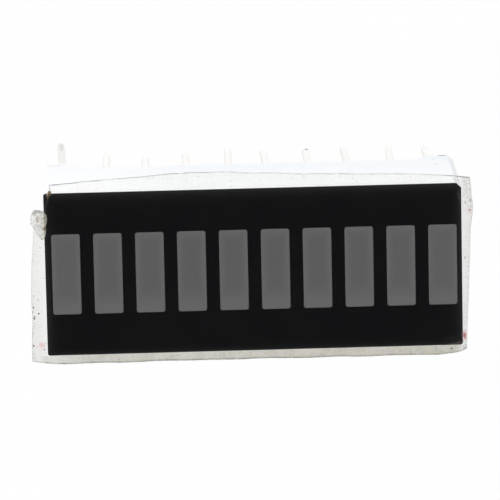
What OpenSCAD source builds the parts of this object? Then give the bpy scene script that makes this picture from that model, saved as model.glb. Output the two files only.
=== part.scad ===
// Ten-segment LED bar graph for through-hole mounting, sizes in millimetres.
// Frame: the seating plane of the end feet is z = 0, the black face looks towards +z,
// x runs along the row of bars and the keyed corner is at +x +y, beside pin 1.

/* [Body] */
// Distance from one bar to the next, and from one pin to the next
pitch = 2.54; // [2.3:0.02:2.8]
// Gap left between two displays stacked end to end
stack_gap = 0.1; // [0.05:0.05:0.3]
// Distance from a row of pins to the outside of the long wall beside it
side_margin = 1.24; // [1.2:0.01:2]
// Height from the seating plane to the face
body_h = 8; // [7:0.1:10]
// Thickness of the walls round the board pocket
wall = 0.65; // [0.5:0.05:0.75]
// Rounding of the three plain upright corners
corner_r = 0.15; // [0.05:0.05:0.4]
// Cut of the upright corner that marks pin 1
key_cut = 0.3; // [0.2:0.05:0.6]

/* [Feet] */
// How far the end feet hold the long walls off the circuit board
foot_h = 1; // [0.7:0.05:1.2]
// Flat length of a foot along the long wall
foot_l = 1.3; // [1:0.1:2]
// Length of the slope from a foot up to the long wall
foot_ramp = 1.3; // [0.3:0.1:2]

/* [Light bars] */
// Width of a bar on the face
bar_w = 1.74; // [1.3:0.02:1.8]
// Height of a bar on the face
bar_h = 5; // [3:0.1:6]
// Rounding of a bar's corners on the face
bar_corner_r = 0.15; // [0.05:0.01:0.3]
// Straight depth of a light well behind the face
mouth_depth = 0.6; // [0.3:0.1:1.5]
// Width of a light well where it meets the chip
throat_w = 1.1; // [0.8:0.05:1.2]
// Height of a light well where it meets the chip
throat_h = 2.4; // [2.2:0.1:2.8]
// Sideways offset of the row of bars from the middle of the body
bar_row_offset = 0.05; // [-0.1:0.01:0.1]

/* [Face] */
// Thickness of the black coat on the face
coat_t = 0.04; // [0.02:0.01:0.1]

/* [Board] */
// Height of the chips' mounting plane above the seating plane
chip_plane = 3; // [2.8:0.1:3.4]
// Thickness of the circuit board
board_t = 0.8; // [0.6:0.1:1]
// Gap between the board's edge and the pocket's wall
board_gap = 0.05; // [0.02:0.01:0.15]
// Thickness of the copper tracks
copper_t = 0.035; // [0.018:0.001:0.07]
// Width of a copper track
track_w = 0.4; // [0.2:0.05:0.6]
// Width of the copper ring round a pin
ring_w = 0.18; // [0.1:0.02:0.22]
// Side of the square pad under a chip
chip_pad = 0.6; // [0.5:0.05:0.7]
// Side of the square pad where a bond wire lands
wire_pad = 0.4; // [0.25:0.05:0.5]

/* [Chips] */
// Side of a square LED chip
chip_w = 0.3; // [0.2:0.02:0.4]
// Height of an LED chip
chip_h = 0.25; // [0.15:0.01:0.35]
// Diameter of a bond wire
wire_d = 0.03; // [0.02:0.005:0.05]
// Distance from a chip's middle to the landing of its bond wire
wire_span = 0.8; // [0.7:0.05:0.9]
// Diameter of the ball that joins a bond wire to its chip
ball_d = 0.1; // [0.06:0.01:0.14]
// Height of that ball
ball_h = 0.04; // [0.02:0.01:0.06]

/* [Pins] */
// Distance between the two rows of pins
row_gap = 7.62; // [7:0.02:7.8]
// Diameter of a pin's free end
pin_d = 0.45; // [0.4:0.01:0.5]
// Diameter of the wide end of a pin's tapered shank in the board
shank_d = 0.56; // [0.52:0.01:0.6]
// Length of a pin below the seating plane
pin_l = 8; // [4:0.1:12]
// Depth below the seating plane at which a handled pin begins to lean
knee_depth = 0.4; // [0.3:0.1:1]
// Height of a solder cone under the board
solder_h = 0.4; // [0.2:0.05:0.5]

/* [Potting] */
// How far the potting stays back from the edge of the long walls
potting_recess = 0.1; // [0.05:0.05:0.3]

/* [Protective film] */
// Thickness of the clear film stuck on the face
film_t = 0.06; // [0.03:0.01:0.1]
// Overhang of the film past the left end
film_left = 1.01; // [0.5:0.01:1.2]
// Overhang past the right end at its widest, near the upper corner
film_right_high = 0.74; // [0.2:0.01:1]
// Overhang past the right end, at its lower corner
film_right_low = 0.27; // [0.1:0.01:1]
// Overhang past the lower long side
film_low = 0.59; // [0.2:0.01:1]
// Overhang past the upper long side at the crest of its bowed edge
film_crest = 1.08; // [0.7:0.01:1.3]
// Overhang past the upper long side at the left corner
film_high_left = 0.52; // [0.2:0.01:0.7]
// Overhang past the upper long side at the right corner
film_high_right = 0.32; // [0.1:0.01:0.7]
// Distance of the crest from the middle of the body, towards the left
film_crest_x = 3.1; // [0:0.1:6]
// How far the film's upper left corner stands in from the body's left end
film_corner_in = 0.36; // [0.1:0.01:0.5]
// Radius of the crumpled lump at the film's left edge
crumple_r = 0.45; // [0.25:0.01:0.5]
// Height of the crumpled lump above the middle of the face
crumple_y = 3.35; // [2.5:0.05:3.6]

/* [Hidden] */
$fn = 32;
slack = 0.1;   // how far a cutter runs past the face that it cuts
bars = 10;
body_l = bars * pitch - stack_gap;
body_w = row_gap + 2 * side_margin;
pocket_l = body_l - 2 * wall;
pocket_w = body_w - 2 * wall;
front_z = body_h - coat_t;
mouth_z = body_h - mouth_depth;
board_top = chip_plane - copper_t;
board_bottom = board_top - board_t;
potting_z = foot_h + potting_recess;
ring_d = shank_d + 2 * ring_w;
knee_d = 1.025 * pin_d;
knee_in = pin_d / 15;
chip_top = chip_plane + chip_h;
crumple_x = -body_l / 2 - crumple_r;

// Sideways drift of the tips of pins 1 to 10, [along x, along y], as handling has left them
pin_drift = [[-0.05, -0.1], [0.2, 0], [-0.15, 0.1], [0, 0], [-0.15, 0],
             [0.15, 0.2], [0, 0], [0, -0.25], [0.1, 0], [-0.25, 0.75]];

function two_digits(i) = i < 10 ? str("0", i) : str(i);
function numbered(name, count) = [for (i = [1:count]) str(name, "_", two_digits(i))];

// Station i = 1 to 10 along the row, from the keyed end towards -x
function station_x(i) = ((bars + 1) / 2 - i) * pitch;
function bar_x(i) = station_x(i) + bar_row_offset;

// Pins 1 to 10 run along +y from the keyed end, and 11 to 20 come back along -y
function pin_x(n) = n <= bars ? station_x(n) : station_x(2 * bars + 1 - n);
function pin_y(n) = (n <= bars ? 1 : -1) * row_gap / 2;
function shank_at(z) = pin_d + (shank_d - pin_d) * (z - foot_h) / (chip_plane - foot_h);
function drift(n) = n <= bars ? pin_drift[n - 1] : [0, 0];

// Points of a curve from a to c, pulled towards b, without its last point
function curve(a, b, c, steps = 12) =
    [for (i = [0:steps - 1]) let (t = i / steps) (1 - t) ^ 2 * a + 2 * t * (1 - t) * b + t ^ 2 * c];

// Plan of the body: three rounded corners and the keyed one
module body_plan() {
    difference() {
        square([body_l, body_w], center = true);
        for (s = [[-1, 1], [-1, -1], [1, -1]])
            scale_corner(s) difference() {
                translate([-corner_r, -corner_r]) square(corner_r + slack);
                translate([-corner_r, -corner_r]) circle(corner_r);
            }
        scale_corner([1, 1]) polygon([[slack, slack], [slack, -key_cut - slack],
                                      [-key_cut - slack, slack]]);
    }
}

// Puts a shape drawn at the +x +y corner at the corner with the given signs
module scale_corner(s) {
    mirror([s[0] < 0 ? 1 : 0, 0]) mirror([0, s[1] < 0 ? 1 : 0])
        translate([body_l / 2, body_w / 2]) children();
}

// Plan of one bar on the face
module bar_plan() {
    inner = [bar_w - 2 * bar_corner_r, bar_h - 2 * bar_corner_r];
    square([bar_w, inner[1]], center = true);
    square([inner[0], bar_h], center = true);
    for (x = [-1, 1], y = [-1, 1])
        translate([x * inner[0] / 2, y * inner[1] / 2]) circle(bar_corner_r);
}

// Flank of a light well: tapered from the throat, straight at the mouth
module well_flank(throat, mouth, low, high) {
    polygon([[-throat / 2, low], [throat / 2, low], [throat / 2, chip_plane], [mouth / 2, mouth_z],
             [mouth / 2, high], [-mouth / 2, high], [-mouth / 2, mouth_z], [-throat / 2, chip_plane]]);
}

// Light well of one bar, from height low to height high
module light_well(low, high) {
    intersection() {
        rotate([90, 0, 0]) linear_extrude(bar_h + slack, center = true)
            well_flank(throat_w, bar_w, low, high);
        rotate([90, 0, 90]) linear_extrude(bar_w + slack, center = true)
            well_flank(throat_h, bar_h, low, high);
        translate([0, 0, low]) linear_extrude(high - low) bar_plan();
    }
}

// White reflector housing: ten tapered wells, a pocket for the board and a foot at each end
module housing() {
    notch_top = body_l / 2 - foot_l - foot_ramp;
    notch_low = body_l / 2 - foot_l;
    color("whitesmoke") difference() {
        linear_extrude(front_z) body_plan();
        translate([0, 0, -slack]) linear_extrude(chip_plane + slack)
            square([pocket_l, pocket_w], center = true);
        rotate([90, 0, 0]) linear_extrude(body_w + 2 * slack, center = true)
            polygon([[-notch_top, foot_h], [notch_top, foot_h], [notch_low, 0],
                     [notch_low, -slack], [-notch_low, -slack], [-notch_low, 0]]);
        for (i = [1:bars])
            translate([bar_x(i), 0, 0]) light_well(chip_plane - slack, body_h);
    }
}

// Black coat on the face, open at the bars
module face_coat() {
    color("black") translate([0, 0, front_z]) linear_extrude(coat_t) difference() {
        body_plan();
        for (i = [1:bars])
            translate([bar_x(i), 0]) bar_plan();
    }
}

// Grey diffusing resin cast into one well, round its copper, chip and bond wire
module light_bar(i) {
    color("dimgray") difference() {
        translate([bar_x(i), 0, 0]) light_well(board_top, body_h);
        translate([0, 0, board_top - slack]) linear_extrude(copper_t + slack) tracks(i);
        led_chip(i);
        bond_wire(i);
    }
}

// LED chip on its copper pad
module led_chip(i) {
    color("lightblue") translate([bar_x(i) - chip_w / 2, -chip_w / 2, chip_plane])
        cube([chip_w, chip_w, chip_h]);
}

// Bond wire: a ball on the chip, a half-round loop and a leg down to its pad
module bond_wire(i) {
    color("gold") translate([bar_x(i), 0, chip_top]) {
        cylinder(d = ball_d, h = ball_h);
        translate([0, 0, ball_h / 2]) translate([0, -wire_span / 2, 0]) rotate([90, 0, 90])
            rotate_extrude(angle = 180) translate([wire_span / 2, 0]) circle(d = wire_d);
        translate([0, -wire_span, -chip_h]) cylinder(d = wire_d, h = chip_h + ball_h / 2);
    }
}

// Circuit board under the wells, drilled for the pin shanks
module circuit_board() {
    color("darkgreen") difference() {
        translate([0, 0, board_bottom]) linear_extrude(board_t)
            square([pocket_l - 2 * board_gap, pocket_w - 2 * board_gap], center = true);
        at_pins() shank(board_bottom - slack, board_top + slack);
    }
}

// Children drawn at the axis of each of the twenty pins
module at_pins() {
    for (n = [1:2 * bars])
        translate([pin_x(n), pin_y(n), 0]) children();
}

// Copper on the board: a ring and a track for each pin
module copper_tracks() {
    color("chocolate") difference() {
        translate([0, 0, board_top]) linear_extrude(copper_t) {
            at_pins() circle(d = ring_d);
            for (i = [1:bars])
                tracks(i);
        }
        at_pins() shank(board_top - slack, chip_plane + slack);
    }
}

// Tracks of one station: from its +y pin to the chip, and from its -y pin to the bond wire
module tracks(i) {
    track(station_x(i), row_gap / 2, bar_x(i), 0, chip_pad);
    track(station_x(i), -row_gap / 2, bar_x(i), -wire_span, wire_pad);
}

// Straight track from a pin to a square pad
module track(pin_at_x, pin_at_y, pad_x, pad_y, pad) {
    turn_y = pad_y + sign(pin_at_y) * pad / 2;
    translate([pad_x, pad_y]) square(pad, center = true);
    polygon([[pin_at_x - track_w / 2, pin_at_y], [pin_at_x + track_w / 2, pin_at_y],
             [pad_x + min(track_w, pad) / 2, turn_y], [pad_x - min(track_w, pad) / 2, turn_y]]);
}

// Twenty solder cones that hold the pins under the board
module solder_joints() {
    color("silver") difference() {
        solder_cones();
        at_pins() shank(board_bottom - solder_h - slack, board_bottom + slack);
    }
}

module solder_cones() {
    at_pins() translate([0, 0, board_bottom - solder_h])
        cylinder(d1 = shank_d + ring_w / 2, d2 = ring_d, h = solder_h);
}

// Epoxy that closes the back round the pins
module potting() {
    color("ivory") difference() {
        translate([0, 0, potting_z]) linear_extrude(board_bottom - potting_z)
            square([pocket_l, pocket_w], center = true);
        at_pins() shank(potting_z - slack, board_bottom + slack);
        solder_cones();
    }
}

// One tinned pin: a tapered shank pressed into the board, then a free end that may lean
module pin(n) {
    free_l = pin_l - pin_d / 2;
    lean_l = free_l - knee_depth;
    lean = atan(norm(drift(n)) / lean_l);
    color("gainsboro") translate([pin_x(n), pin_y(n), 0]) {
        shank(foot_h, chip_plane);
        if (lean > 0) {
            translate([0, 0, foot_h]) mirror([0, 0, 1]) cylinder(d = pin_d, h = foot_h + knee_depth - knee_in);
            translate([0, 0, -knee_depth]) sphere(d = knee_d);
            translate([0, 0, -knee_depth]) rotate([0, 0, atan2(drift(n)[1], drift(n)[0])])
                rotate([0, 180 - lean, 0]) translate([0, 0, knee_in]) free_end(lean_l / cos(lean) - knee_in);
        } else {
            translate([0, 0, foot_h]) mirror([0, 0, 1]) free_end(foot_h + free_l);
        }
    }
}

// Tapered shank of a pin between two heights
module shank(low, high) {
    translate([0, 0, low]) cylinder(d1 = shank_at(low), d2 = shank_at(high), h = high - low);
}

// Straight round wire of length l with a rounded tip
module free_end(l) {
    cylinder(d = pin_d, h = l);
    translate([0, 0, l]) sphere(d = pin_d);
}

// Clear film stuck on the face: cut by hand, overhanging all round, crumpled at its left edge
module protective_film() {
    x = body_l / 2;
    y = body_w / 2;
    high_right = [x + 0.85 * film_right_high, y + film_high_right];
    low_right = [x + film_right_low, -y - 0.8 * film_low];
    low_left = [-x - film_left, -y - film_low / 2];
    high_left = [-x + film_corner_in, y + film_high_left];
    crest = [-film_crest_x, y + film_crest];
    color("white", 0.3) {
        translate([0, 0, body_h]) linear_extrude(film_t) polygon(concat(
            curve(high_right, [0.6 * x, crest[1] - film_high_right], crest),
            curve(crest, [-0.6 * x, crest[1]], high_left),
            [high_left, [-x + film_corner_in / 2, crumple_y + 1.5 * crumple_r],
             [crumple_x, crumple_y], [-x - 0.7 * film_left, crumple_y - 3 * crumple_r],
             [-x - film_left, -y / 4]],
            curve(low_left, [-x, -y - film_low], [-x / 2, -y - film_low]),
            curve([x / 2, -y - film_low], [x, -y - film_low], low_right),
            [low_right, [x + film_right_high, 0.74 * y]]));
        crumple();
    }
}

// Lump of film folded on itself beside the body's left end
module crumple() {
    r = crumple_r - film_t;
    hull() {
        translate([crumple_x, crumple_y + r / 2, body_h]) sphere(r, $fn = 16);
        translate([crumple_x, crumple_y - r / 2, body_h + film_t]) sphere(r, $fn = 16);
        translate([crumple_x + r / 2, crumple_y - 2 * r, body_h]) sphere(r / 2, $fn = 16);
    }
}

housing();
face_coat();
protective_film();
circuit_board();
copper_tracks();
solder_joints();
potting();
for (i = [1:bars]) {
    light_bar(i);
    led_chip(i);
    bond_wire(i);
}
for (n = [1:2 * bars])
    pin(n);
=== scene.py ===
import math
import random
from functools import partialmethod

import bmesh
import bpy
from mathutils import Matrix, Vector, geometry, noise


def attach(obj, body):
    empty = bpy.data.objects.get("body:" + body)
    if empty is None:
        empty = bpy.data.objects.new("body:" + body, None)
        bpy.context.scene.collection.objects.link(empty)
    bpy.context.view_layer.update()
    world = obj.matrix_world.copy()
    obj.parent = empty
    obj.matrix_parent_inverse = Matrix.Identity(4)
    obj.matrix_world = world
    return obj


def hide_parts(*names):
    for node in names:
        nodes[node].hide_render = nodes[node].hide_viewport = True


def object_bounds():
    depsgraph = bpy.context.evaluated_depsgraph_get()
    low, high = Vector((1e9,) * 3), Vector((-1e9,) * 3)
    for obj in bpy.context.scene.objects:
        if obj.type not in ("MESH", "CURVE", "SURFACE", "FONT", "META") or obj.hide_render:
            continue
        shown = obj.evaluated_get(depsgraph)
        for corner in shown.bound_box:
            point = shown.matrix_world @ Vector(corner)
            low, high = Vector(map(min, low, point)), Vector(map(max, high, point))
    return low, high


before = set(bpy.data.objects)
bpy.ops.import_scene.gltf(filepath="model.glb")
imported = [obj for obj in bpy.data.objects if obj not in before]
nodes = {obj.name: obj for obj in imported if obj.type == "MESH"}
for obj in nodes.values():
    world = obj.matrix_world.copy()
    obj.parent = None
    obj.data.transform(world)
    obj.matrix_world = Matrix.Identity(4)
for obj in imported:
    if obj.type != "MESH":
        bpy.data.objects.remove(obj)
cadLow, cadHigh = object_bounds()
scene = bpy.context.scene
mm = 0.001
print("frame loaded:", len(nodes), "nodes")


# sizes that several pieces and finishes share, in millimetres

display = {
    "length": 25.3, "width": 10.1, "front": 8.0,
    "keyCut": 0.3,  # at the corner of pin 1
    "count": 10, "pitch": 2.54,  # of the bars, and of the pins in a row
    "bar": (1.74, 5.0),
    "barShift": 0.05,  # of the row of bars from the middle
    "rowGap": 7.62,  # between the two rows of pins
}
halfLength, halfWidth, front = display["length"] / 2, display["width"] / 2, display["front"]
keyCorner = halfLength + halfWidth - display["keyCut"]  # x + y on the cut


def alongRow():
    # from the end of pin 1 to the other
    middle = (display["count"] - 1) / 2
    return [(middle - i) * display["pitch"] for i in range(display["count"])]


# small helpers shared by the pieces

def newObject(name, data):
    obj = bpy.data.objects.new(name, data)
    scene.collection.objects.link(obj)
    return obj


def linkMesh(name, bm, closed=True, shading=None):
    # shading: degrees up to which neighbouring faces are smooth
    if closed:
        bmesh.ops.recalc_face_normals(bm, faces=bm.faces[:])
    mesh = bpy.data.meshes.new(name)
    bm.to_mesh(mesh)
    bm.free()
    if shading:
        for poly in mesh.polygons:
            poly.use_smooth = True
        mesh.set_sharp_from_angle(angle=math.radians(shading))
    return newObject(name, mesh)


def dress(obj, material, replaced=()):
    obj.data.materials.clear()
    obj.data.materials.append(material)
    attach(obj, "root")
    if replaced:
        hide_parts(*replaced)


def numbered(name, count):
    return ["%s_%02d" % (name, i + 1) for i in range(count)]


def ringLoft(bm, rings):
    loops = [[bm.verts.new([c * mm for c in point]) for point in ring] for ring in rings]
    for low, high in zip(loops, loops[1:]):
        count = len(low)
        for i in range(count):
            j = (i + 1) % count
            bm.faces.new((low[i], low[j], high[j], high[i]))
    bm.faces.new(list(reversed(loops[0])))
    bm.faces.new(loops[-1])


def ripple(x, y, scale, level):
    # plane noise: one level of the noise in space
    return noise.noise(Vector((x * scale, y * scale, level)))


nodeGap = 180  # between neighbours in the node editor


def feed(tree, value, socket):
    if isinstance(value, bpy.types.NodeSocket):
        tree.links.new(value, socket)
    elif socket.type == "RGBA":
        socket.default_value = (*value, 1)
    else:
        socket.default_value = value


def add(tree, kind, inputs=None, **settings):
    # one node: its settings, then its inputs, each a link from a socket or a plain value
    made = tree.nodes.new(kind)
    made.location.x = nodeGap * len(tree.nodes)
    for key, value in settings.items():
        setattr(made, key, value)
    for key, value in (inputs or {}).items():
        feed(tree, value, made.inputs[key])
    return made.outputs


def emptyTree(owner):
    owner.use_nodes = True
    owner.node_tree.nodes.clear()
    return owner.node_tree


# camera, fitted to the ten bars on their pitch

cameraFit = {
    "focalPixels": 5324, "photoPixels": 500, "sensor": 36,
    "distance": 323.1,
    "turn": -1.4, "tilt": 13.21, "roll": -1.21,
    "aim": (0.290, -1.184),
    "target": (display["barShift"], 0, front),
    "clip": (0.01, 20),
}


def placeCamera(fit):
    turn, tilt, roll = (math.radians(fit[k]) for k in ("turn", "tilt", "roll"))
    back = Vector((math.sin(turn) * math.cos(tilt), math.sin(tilt), math.cos(turn) * math.cos(tilt)))
    right = Vector((math.cos(turn), 0, -math.sin(turn)))
    up = back.cross(right)
    rolledRight = right * math.cos(roll) + up * math.sin(roll)
    rolledUp = up * math.cos(roll) - right * math.sin(roll)
    aside = rolledRight * fit["aim"][0] + rolledUp * fit["aim"][1]
    data = bpy.data.cameras.new("camera")
    data.sensor_fit = "HORIZONTAL"
    data.sensor_width = fit["sensor"]
    data.lens = fit["sensor"] * fit["focalPixels"] / fit["photoPixels"]
    data.clip_start, data.clip_end = fit["clip"]
    camera = newObject("camera", data)
    matrix = Matrix((rolledRight, rolledUp, back)).transposed().to_4x4()
    matrix.translation = (Vector(fit["target"]) - aside + back * fit["distance"]) * mm
    camera.matrix_world = matrix
    scene.camera = camera


placeCamera(cameraFit)
scene.view_settings.view_transform = "Standard"
print("camera placed")


# floor, world and lamps

studio = {
    "floorLevel": cadLow.z,
    "floorSize": 3.0,
    "floorColor": (0.93, 0.93, 0.93),
    "floorGlow": 0.97,  # share of plain white that the floor shows to the eye
    "skyColor": (0.98, 0.99, 1), "skyLight": 0.52,
    "white": (1, 1, 1),
    "lamps": [
        # name, place in metres, size, watts; all aim at the origin
        ("keyLamp", (-0.12, 0.55, 0.32), 0.34, 2.0),
        ("fillLamp", (0.35, -0.30, 0.42), 0.40, 0.8),
        ("sideLamp", (-0.48, -0.10, 0.30), 0.30, 0.5),
    ],
}


def splitRays(tree, output, lighting, showing, share=1.0):
    # one shader lights the object, the other is what the eye, metal and glass see
    path = add(tree, "ShaderNodeLightPath")
    seen = path["Is Camera Ray"]
    for ray in ("Is Glossy Ray", "Is Transmission Ray"):
        seen = add(tree, "ShaderNodeMath", {0: seen, 1: path[ray]}, operation="MAXIMUM")[0]
    seen = add(tree, "ShaderNodeMath", {0: seen, 1: share}, operation="MULTIPLY")[0]
    mixed = add(tree, "ShaderNodeMixShader", {0: seen, 1: lighting, 2: showing})[0]
    add(tree, output, {"Surface": mixed})


def buildStudio(spec):
    scene.world = bpy.data.worlds.new("studioWorld")
    tree = emptyTree(scene.world)
    sky = add(tree, "ShaderNodeBackground", {"Color": spec["skyColor"], "Strength": spec["skyLight"]})[0]
    white = add(tree, "ShaderNodeBackground", {"Color": spec["white"], "Strength": 1})[0]
    splitRays(tree, "ShaderNodeOutputWorld", sky, white)

    paper = bpy.data.materials.new("studioPaper")
    tree = emptyTree(paper)
    matt = add(tree, "ShaderNodeBsdfDiffuse", {"Color": spec["floorColor"]})[0]
    glow = add(tree, "ShaderNodeEmission", {"Color": spec["white"], "Strength": 1})[0]
    splitRays(tree, "ShaderNodeOutputMaterial", matt, glow, spec["floorGlow"])

    bm = bmesh.new()
    half = spec["floorSize"] / 2
    corners = [(-half, -half), (half, -half), (half, half), (-half, half)]
    bm.faces.new([bm.verts.new((x, y, spec["floorLevel"])) for x, y in corners])
    floor = linkMesh("studioFloor", bm, closed=False)
    floor.data.materials.append(paper)

    for name, place, size, watts in spec["lamps"]:
        data = bpy.data.lights.new(name, "AREA")
        data.shape = "DISK"
        data.size = size
        data.energy = watts
        lamp = newObject(name, data)
        lamp.location = place
        lamp.rotation_euler = (-Vector(place)).to_track_quat("-Z", "Y").to_euler()


buildStudio(studio)
print("studio built")


# shader groups: patterns that several finishes share, all in millimetres

def newGroup(name, output, **inputs):
    # each input has the value that it starts with
    group = bpy.data.node_groups.new(name, "ShaderNodeTree")
    group.interface.new_socket("Vector", in_out="INPUT", socket_type="NodeSocketVector")
    for label, value in inputs.items():
        kind = "NodeSocketVector" if isinstance(value, tuple) else "NodeSocketFloat"
        group.interface.new_socket(label, in_out="INPUT", socket_type=kind).default_value = value
    group.interface.new_socket(output, in_out="OUTPUT", socket_type="NodeSocketFloat")
    return group, add(group, "NodeGroupInput")


def buildPatchGroup():
    # soft patches: one noise, pushed apart between a low and a high level
    group, start = newGroup("softPatches", "Mask", Scale=1.0, Low=0.35, High=0.65)
    cloud = add(group, "ShaderNodeTexNoise", {
        "Vector": start["Vector"], "Scale": start["Scale"], "Detail": 5, "Roughness": 0.6})["Fac"]
    spread = add(group, "ShaderNodeMapRange", {
        "Value": cloud, "From Min": start["Low"], "From Max": start["High"]}, interpolation_type="SMOOTHSTEP")
    add(group, "NodeGroupOutput", {"Mask": spread["Result"]})
    return group


def buildGrainGroup():
    # fine grain: a height for a bump, from a noise and a finer one on it
    group, start = newGroup("fineGrain", "Height", Scale=8.0, Finer=4.0, Share=0.35)
    finer = add(group, "ShaderNodeMath", {0: start["Scale"], 1: start["Finer"]}, operation="MULTIPLY")[0]
    broad, fine = (add(group, "ShaderNodeTexNoise", {
        "Vector": start["Vector"], "Scale": scale, "Detail": detail})["Fac"]
        for scale, detail in ((start["Scale"], 3), (finer, 2)))
    height = add(group, "ShaderNodeMix", {"Factor": start["Share"], "A": broad, "B": fine}, data_type="FLOAT")
    add(group, "NodeGroupOutput", {"Height": height["Result"]})
    return group


def buildSpotGroup():
    # one soft spot round a point, broken up by noise
    group, start = newGroup("dirtSpot", "Mask", Centre=(0, 0, 0), Stretch=(1, 1, 1), Radius=0.1,
                            Ragged=0.5, Scale=12.0)
    place = start["Vector"]
    away = add(group, "ShaderNodeVectorMath", {0: place, 1: start["Centre"]}, operation="SUBTRACT")[0]
    away = add(group, "ShaderNodeVectorMath", {0: away, 1: start["Stretch"]}, operation="DIVIDE")[0]
    away = add(group, "ShaderNodeVectorMath", {0: away}, operation="LENGTH")["Value"]
    away = add(group, "ShaderNodeMath", {0: away, 1: start["Radius"]}, operation="DIVIDE")[0]
    shake = add(group, "ShaderNodeTexNoise", {"Vector": place, "Scale": start["Scale"], "Detail": 3})["Fac"]
    shake = add(group, "ShaderNodeMath", {0: shake, 1: start["Ragged"]}, operation="MULTIPLY")[0]
    away = add(group, "ShaderNodeMath", {0: away, 1: shake}, operation="ADD")[0]
    fade = add(group, "ShaderNodeMapRange", {
        "Value": away, "From Min": 1.15, "From Max": 0.75}, interpolation_type="SMOOTHSTEP")
    add(group, "NodeGroupOutput", {"Mask": fade["Result"]})
    return group


softPatches = buildPatchGroup()
fineGrain = buildGrainGroup()
dirtSpot = buildSpotGroup()


class Finish:
    # one material: the shader, the piece's place in millimetres, and a few short ways to join nodes

    def __init__(self, name, metallic=0.0, roughness=0.5, specular=0.5):
        self.material = bpy.data.materials.new(name)
        self.tree = emptyTree(self.material)
        self.shader = self.add("BsdfPrincipled", {
            "Metallic": metallic, "Roughness": roughness, "Specular IOR Level": specular})[0].node
        self.add("OutputMaterial", {"Surface": self.shader.outputs[0]})
        place = self.add("TexCoord")["Object"]
        self.place = self.add("VectorMath", {0: place, "Scale": 1 / mm}, operation="SCALE")[0]

    def add(self, kind, inputs=None, **settings):
        return add(self.tree, "ShaderNode" + kind, inputs, **settings)

    def set(self, label, value):
        feed(self.tree, value, self.shader.inputs[label])

    def axes(self):
        return self.add("SeparateXYZ", {0: self.place})

    def attribute(self, name):
        return self.add("Attribute", attribute_name=name)

    def mix(self, mask, a, b, kind="RGBA"):
        return self.add("Mix", {"Factor": mask, "A": a, "B": b}, data_type=kind)["Result"]

    def blend(self, mask, a, b):
        return self.mix(mask, a, b, "FLOAT")

    def math(self, operation, first, *others):
        for other in others or (0.0,):
            first = self.add("Math", {0: first, 1: other}, operation=operation)[0]
        return first

    plus = partialmethod(math, "ADD")
    minus = partialmethod(math, "SUBTRACT")
    times = partialmethod(math, "MULTIPLY")
    most = partialmethod(math, "MAXIMUM")
    least = partialmethod(math, "MINIMUM")

    def step(self, value, low, high, toLow=0.0, toHigh=1.0):
        return self.add("MapRange", {
            "Value": value, "From Min": low, "From Max": high, "To Min": toLow, "To Max": toHigh},
            interpolation_type="SMOOTHSTEP")["Result"]

    def group(self, group, **values):
        return self.add("Group", {"Vector": self.place, **values}, node_tree=group)[0]

    def patches(self, scale, low=0.35, high=0.65):
        return self.group(softPatches, Scale=scale, Low=low, High=high)

    def spot(self, centre, stretch, radius, edge, level=0.0):
        # a centre of two numbers lies at the level; edge: scale and share of the noise in it
        return self.group(dirtSpot, Centre=(*centre, level)[:3], Stretch=(*stretch, 1)[:3], Radius=radius,
                          Scale=edge[0], Ragged=edge[1])

    def stain(self, color, look, level=0.0):
        for name, centre, stretch, radius, cover in look["marks"]:
            spot = self.spot(centre, stretch, radius, look["markEdge"], level)
            color = self.mix(self.times(spot, cover), color, look[name])
        return color

    def bump(self, scale, finer, share, strength, depth):
        height = self.group(fineGrain, Scale=scale, Finer=finer, Share=share)
        self.set("Normal", self.add("Bump", {
            "Strength": strength, "Distance": depth * mm, "Height": height})[0])

    def close(self, color, look):
        scale, smoothest, roughest = look["rough"]
        self.set("Base Color", color)
        self.set("Roughness", self.blend(self.patches(scale), smoothest, roughest))
        self.bump(*look["grain"])
        return self.material


# In the looks below, clouds, flecks and specks are patches: scale, low and high level. Marks: colour, centre,
# stretch, radius in millimetres, cover. Rough: scale of its patches, smoothest, roughest. Grain: scale, how
# much finer the second noise is, its share, strength, depth in millimetres.

# white reflector plastic

whiteLook = {
    "plain": (0.9, 0.927, 0.953), "shade": (0.88, 0.902, 0.928), "cloud": (0.55, 0.3, 0.75),
    "whiterEnd": (0.94, 0.955, 0.98), "whiterEndFrom": (-2, -11),  # whiter towards the left end
    "dirt": (0.16, 0.14, 0.12),
    "marks": [
        ("dirt", (12.0, 5.05, 0.02), (1.0, 1, 0.85), 0.34, 1),
        ("dirt", (11.52, 5.05, 2.6), (1, 1, 2.4), 0.05, 1),
        ("dirt", (11.4, 5.05, 1.1), (1, 1, 2.4), 0.045, 1),
        ("dirt", (-12.05, 5.05, 0.1), (10, 1, 4), 0.06, 0.16),
    ],
    "markEdge": (14, 0.5),
    "rough": (2.5, 0.36, 0.5),
    "grain": (9, 5, 0.4, 0.25, 0.02),
}


def whitePlastic(look):
    finish = Finish("whiteReflectorPlastic", roughness=0.42, specular=0.4)
    color = finish.mix(finish.patches(*look["cloud"]), look["plain"], look["shade"])
    color = finish.mix(finish.step(finish.axes()["X"], *look["whiterEndFrom"]), color, look["whiterEnd"])
    return finish.close(finish.stain(color, look), look)


# black face, printed on the front of the reflector

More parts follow.
